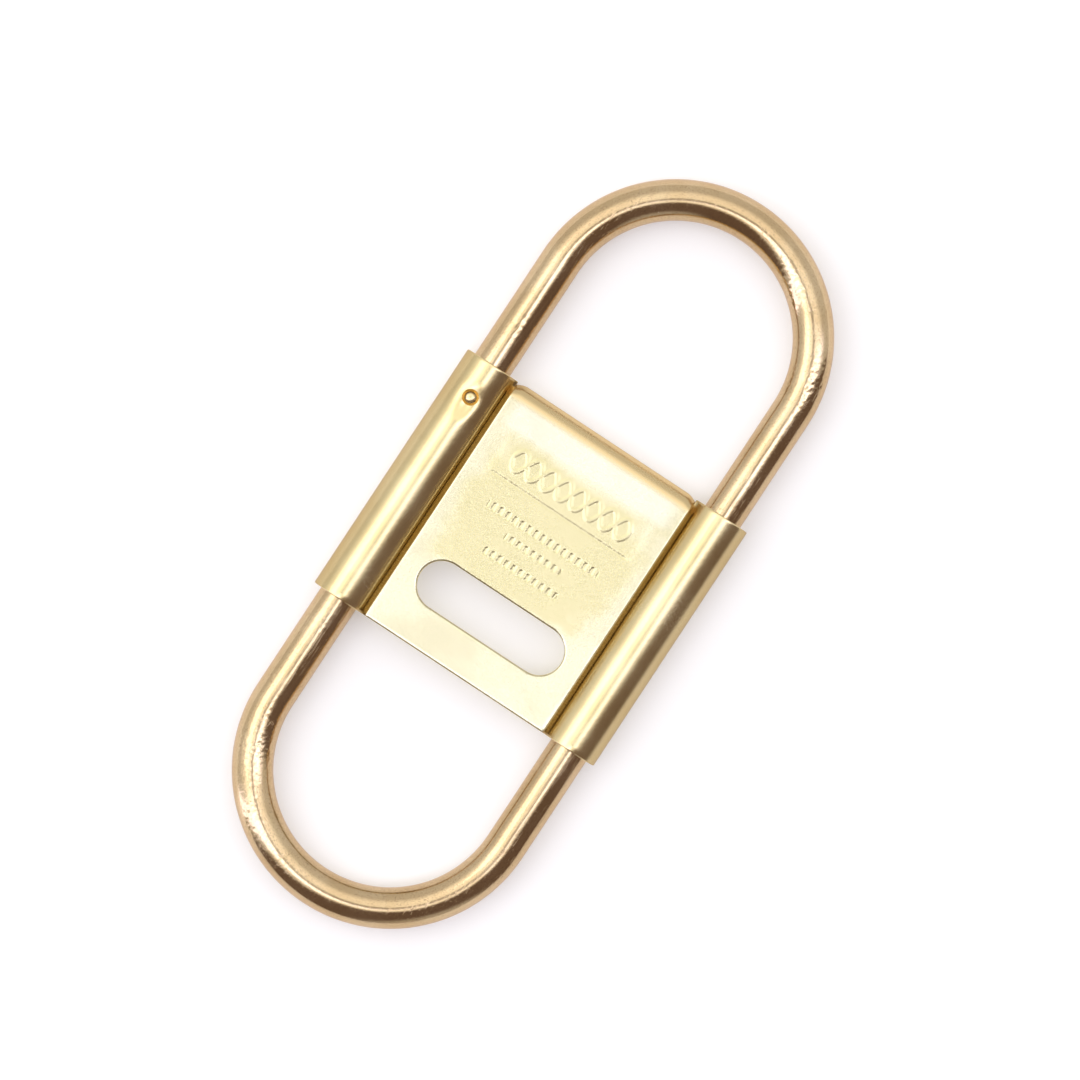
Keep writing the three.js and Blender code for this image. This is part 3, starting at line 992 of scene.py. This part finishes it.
# colour of the rods' pits and grit, and of the painted shade along their sides
ROD_STAIN_AND_SHADE = (0.30, 0.18, 0.09, 1)
ROD_RIM = (0.86, 0.80, 0.76, 1)
ROD_GRAIN = 0.000008
ROD_CLOUD = 160
ROD_PEEL = 1500
ROD_PATCH = 260
ROD_PITS = 3600
ROD_GRIT = 7500
ROD_FINE = 5500
SIDE_SHADE_GRAIN = 5200
SCRATCH_LINES = (5200, 170, 5200)
SCRATCH_TURNS = (0.35, 1.25, 2.3, 2.9)
# painted shade along the rods' inner and outer sides, broken up by speckles, by distance from the
# ring's middle line
SIDE_SHADE_IN = (0.0153, 0.0143)
SIDE_SHADE_OUT = (0.0180, 0.0188)
SIDE_SHADE_OUT_SHARE = 0.6


def ring_reach(nodes, place):
    """Distance from the ring's long middle line, measured square to the rod's run."""
    x, y = nodes.split(place)[:2]
    beyond = nodes.math("SUBTRACT", nodes.math("ABSOLUTE", y), BEND_Y * MM)
    beyond = nodes.math("MAXIMUM", beyond, 0.0)
    squares = nodes.sum(nodes.math("POWER", nodes.math("ABSOLUTE", x), 2.0),
                        nodes.math("POWER", beyond, 2.0))
    return nodes.math("SQRT", squares)


def rod_brass():
    """Polished rod, pinker than the sheet, with fine scratches and a scatter of small pits."""
    material, nodes, shader, place = new_metal("rod_brass", ROD_RIM)
    cloud = nodes.noise(place, ROD_CLOUD, 3)
    scratches = 0.0
    for turn in SCRATCH_TURNS:
        lines = nodes.span(nodes.streaks(place, SCRATCH_LINES, 2, turn), 0.64, 0.72)
        scratches = nodes.math("MAXIMUM", scratches, lines)
    patch = nodes.span(nodes.noise(place, ROD_PATCH, 2), 0.46, 0.64)
    pits = nodes.span(nodes.noise(place, ROD_PITS, 2), 0.64, 0.74)
    pits = nodes.times(pits, nodes.span(patch, 0.0, 1.0, 0.35, 1.0))
    grit = nodes.span(nodes.noise(place, ROD_GRIT, 2), 0.55, 0.68, 0.0, 0.42)
    reach = ring_reach(nodes, place)
    # painted shade along the rods' inner and outer sides, speckled
    sides = nodes.sum(nodes.span(reach, *SIDE_SHADE_IN),
                      nodes.span(reach, *SIDE_SHADE_OUT, 0.0, SIDE_SHADE_OUT_SHARE))
    speckle = nodes.span(nodes.noise(place, SIDE_SHADE_GRAIN, 3, 0.7), 0.40, 0.62, 0.08, 0.40)
    tone = nodes.mix(nodes.span(cloud, TONE_LOW, TONE_HIGH), ROD_DEEP, ROD_PALE)
    for share in (nodes.times(pits, 0.7), grit, nodes.times(sides, speckle)):
        tone = nodes.mix(share, tone, ROD_STAIN_AND_SHADE)
    rough = nodes.sum(nodes.span(cloud, GRAIN_LOW, GRAIN_HIGH, 0.115, 0.155),
                      nodes.times(scratches, 0.12))
    height = nodes.sum(nodes.times(nodes.noise(place, ROD_PEEL, 3, 0.6), 0.8),
                       nodes.times(scratches, patch, -0.8), nodes.times(pits, -1.2),
                       nodes.times(nodes.noise(place, ROD_FINE, 2), 0.5))
    plug(nodes, shader, tone, rough, height, ROD_GRAIN)
    return material


STEEL_PALE = (0.62, 0.63, 0.65, 1)
STEEL_DEEP = (0.48, 0.49, 0.51, 1)
TURNED_CLOUD = 900
TURNED_LINES = (900, 9000, 900)
TURNED_GRAIN = 0.000004


def turned_metal(name, pale, deep, roughness):
    """Small turned or drawn pieces: fine lathe lines and a slightly uneven tone."""
    material, nodes, shader, place = new_metal(name)
    cloud = nodes.noise(place, TURNED_CLOUD, 3)
    lines = nodes.streaks(place, TURNED_LINES, 2)
    tone = nodes.mix(nodes.span(cloud, TONE_LOW, TONE_HIGH), deep, pale)
    rough = nodes.span(cloud, GRAIN_LOW, GRAIN_HIGH, roughness, roughness + 0.1)
    plug(nodes, shader, tone, rough, lines, TURNED_GRAIN)
    return material


# ---------------------------------------------------------------- stage and light
TABLE_PALE = (0.835, 0.825, 0.815, 1)
TABLE_DEEP = (0.81, 0.795, 0.785, 1)
TABLE_CLOUD = 18
TABLE_HALF = 3.0
# what the lit studio round the table adds to it, as a faint glow of its own
TABLE_GLOW = (1.0, 0.98, 0.96, 1)
TABLE_GLOW_STRENGTH = 0.29


def make_floor():
    """A pale, slightly glossy table under the ring."""
    material = bpy.data.materials.new("table")
    material.use_nodes = True
    nodes = Nodes(material.node_tree)
    shader = material.node_tree.nodes["Principled BSDF"]
    place = nodes.add("ShaderNodeTexCoord").outputs["Object"]
    tone = nodes.mix(nodes.noise(place, TABLE_CLOUD, 3), TABLE_DEEP, TABLE_PALE)
    material.node_tree.links.new(tone, shader.inputs["Base Color"])
    shader.inputs["Roughness"].default_value = 0.25
    shader.inputs["Specular IOR Level"].default_value = 0.5
    shader.inputs["Emission Color"].default_value = TABLE_GLOW
    shader.inputs["Emission Strength"].default_value = TABLE_GLOW_STRENGTH
    mesh = bpy.data.meshes.new("table")
    half = TABLE_HALF
    corners = [(-half, -half, 0), (half, -half, 0), (half, half, 0), (-half, half, 0)]
    mesh.from_pydata(corners, [], [(0, 1, 2, 3)])
    mesh.materials.append(material)
    table = bpy.data.objects.new("table", mesh)
    bpy.context.scene.collection.objects.link(table)


def upward(heading, tilt):
    """A direction by its heading from +X towards +Y and its angle from overhead, in degrees."""
    a, t = math.radians(heading), math.radians(tilt)
    return Vector((math.cos(a) * math.sin(t), math.sin(a) * math.sin(t), math.cos(t)))


# The room that the metal reflects. Headings are in degrees from +X towards +Y, and tilts are from
# overhead. Spans are of the dot product of two directions: 1 where they agree, 0 square to it.
HORIZON = 90
ROOM_LEVEL = 0.74
CEILING_SPAN, CEILING_LEVEL = (0.60, 0.92), 0.62
GLOW_WAY, GLOW_SPAN, GLOW_LEVEL = (195, 38), (0.82, 0.97), 0.35
CAMERA_SPAN, CAMERA_LEVEL = (0.9905, 0.9970), 0.85
# The dark quarter is a wedge: its tip is near overhead, and its two edges run down to these
# headings. A bright rim, slightly blue, follows each edge on the outside.
ROOM_DARK = (0.172, 0.124, 0.106, 1)
DARK_TIP = (-48, 11.5)
DARK_FROM = -127
DARK_TO = 31
DARK_FROM_SPAN, DARK_TO_SPAN = (0.0, 0.16), (-0.045, 0.10)
RIM_AWAY = 0.105
RIM_SPAN, RIM_LEVEL = (0.105, 0.045), 1.7
RIM_APART = (0.0, 0.06)
RIM_LOW_END = (0.42, 0.85)
RIM_BLUE = 0.45
# low down in its middle, light comes through
LOW_LIGHT_HEADING, LOW_LIGHT_SPAN, LOW_LIGHT_SHARE = 315, (0.87, 0.985), 0.60


def make_world():
    """A pale room with a bright ceiling, a dark disc overhead where the camera hangs, and one
    dark quarter where somebody stands."""
    world = bpy.data.worlds.new("room")
    bpy.context.scene.world = world
    world.use_nodes = True
    nodes = Nodes(world.node_tree)
    direction = nodes.add("ShaderNodeTexCoord").outputs["Generated"]

    def along(way):
        inputs = {0: direction, 1: tuple(way)}
        return nodes.add("ShaderNodeVectorMath", inputs, operation="DOT_PRODUCT").outputs["Value"]

    up = along((0, 0, 1))
    ceiling = nodes.span(up, *CEILING_SPAN, 0.0, CEILING_LEVEL)
    glow = nodes.span(along(upward(*GLOW_WAY)), *GLOW_SPAN, 0.0, GLOW_LEVEL)
    overhead = nodes.span(up, *CAMERA_SPAN, 0.0, CAMERA_LEVEL)

    # how far inside each edge of the dark quarter a direction lies
    tip = upward(*DARK_TIP)
    first = along(tip.cross(upward(DARK_FROM, HORIZON)).normalized())
    second = along(upward(DARK_TO, HORIZON).cross(tip).normalized())
    rims = []
    for side, other in ((first, second), (second, first)):
        off = nodes.math("ABSOLUTE", nodes.sum(side, RIM_AWAY))
        apart = nodes.span(nodes.math("SUBTRACT", other, side), *RIM_APART)
        rims.append(nodes.times(nodes.span(off, *RIM_SPAN, 0.0, RIM_LEVEL), apart))
    rim = nodes.sum(rims[0], nodes.times(rims[1], nodes.span(up, *RIM_LOW_END)))

    level = nodes.sum(nodes.math("SUBTRACT", ceiling, overhead), ROOM_LEVEL, glow, rim)
    blue = nodes.sum(level, nodes.times(rim, RIM_BLUE))
    pale = nodes.add("ShaderNodeCombineColor", {0: level, 1: level, 2: blue}).outputs[0]
    dark = nodes.times(nodes.span(first, *DARK_FROM_SPAN), nodes.span(second, *DARK_TO_SPAN))
    low_light = nodes.span(along(upward(LOW_LIGHT_HEADING, HORIZON)), *LOW_LIGHT_SPAN,
                           0.0, LOW_LIGHT_SHARE)
    dark = nodes.math("SUBTRACT", dark, low_light, clamp=True)
    ground = world.node_tree.nodes["Background"]
    world.node_tree.links.new(nodes.mix(dark, pale, ROOM_DARK), ground.inputs["Color"])
    ground.inputs["Strength"].default_value = 1.0


SOFTBOX_HEADING = 195
SOFTBOX_TILT = 35
SOFTBOX_AWAY = 0.9
SOFTBOX_SIDE = 0.42
SOFTBOX_RADIANCE = 1.0


def make_light():
    """One square softbox opposite the dark quarter, facing the ring."""
    data = bpy.data.lights.new("softbox", "AREA")
    data.shape = "RECTANGLE"
    data.size = SOFTBOX_SIDE
    data.size_y = SOFTBOX_SIDE
    data.energy = SOFTBOX_RADIANCE * math.pi * SOFTBOX_SIDE ** 2
    light = bpy.data.objects.new("softbox", data)
    light.rotation_euler = (math.radians(SOFTBOX_TILT), 0, math.radians(SOFTBOX_HEADING + 90))
    light.location = upward(SOFTBOX_HEADING, SOFTBOX_TILT) * SOFTBOX_AWAY
    bpy.context.scene.collection.objects.link(light)


# ---------------------------------------------------------------- making order
make_camera()
bpy.context.scene.view_settings.view_transform = "Standard"

band_metal = sheet_finish("satin_brass", BRASS_PALE, BRASS_DEEP, 0.000010, 0.18, band_details)
cover_metal = sheet_finish("satin_brass_cover", COVER_LIT_PALE, COVER_LIT_DEEP, 0.000012, 0.20, cover_details)
rod_metal = rod_brass()
pin_metal = turned_metal("pin_brass", BRASS_PALE, BRASS_DEEP, 0.2)
steel_metal = turned_metal("spring_steel", STEEL_PALE, STEEL_DEEP, 0.25)

make_upper_shackle(rod_metal)
make_lower_loop(rod_metal)
make_cover(cover_metal)
band = make_band(band_metal)
cut(band, *slot_cutter())
cut(band, *hole_cutter(PIN_X, PIN_Y, HOLE_FLOOR, SLEEVE_R + PAST))
cut(band, *countersink_cutter())
for leg_x in (-LEG_X, LEG_X):
    cut(band, *hole_cutter(leg_x, LOOP_PIN_Y, -SLEEVE_R - PAST, -HOLE_FLOOR))

make_pin("retaining_pin", pin_metal, (PIN_X, PIN_Y), PIN_LOW[2] - MID_Z, PIN_HIGH[2] - MID_Z, 1)
loop_pin_tip, loop_pin_end = MID_Z - LOOP_PIN_HIGH[2], MID_Z - LOOP_PIN_LOW[2]
for side, leg_x in (("left", -LEG_X), ("right", LEG_X)):
    make_pin("lower_loop_pin_" + side, pin_metal, (leg_x, LOOP_PIN_Y), loop_pin_tip, loop_pin_end, -1)
washer_r = (WASHER_HIGH[0] - WASHER_LOW[0]) / 2
make_ring("thrust_washer", steel_metal, WASHER_LOW[1], WASHER_HIGH[1], NECK_R + RING_CLEAR, washer_r,
          WASHER_EDGE, "body")
collar_r = (COLLAR_HIGH[0] - COLLAR_LOW[0]) / 2
make_ring("end_collar", pin_metal, COLLAR_LOW[1], COLLAR_HIGH[1], TENON_R + RING_CLEAR, collar_r,
          COLLAR_EDGE, "shackle")
make_spring(steel_metal)

make_floor()
make_world()
make_light()
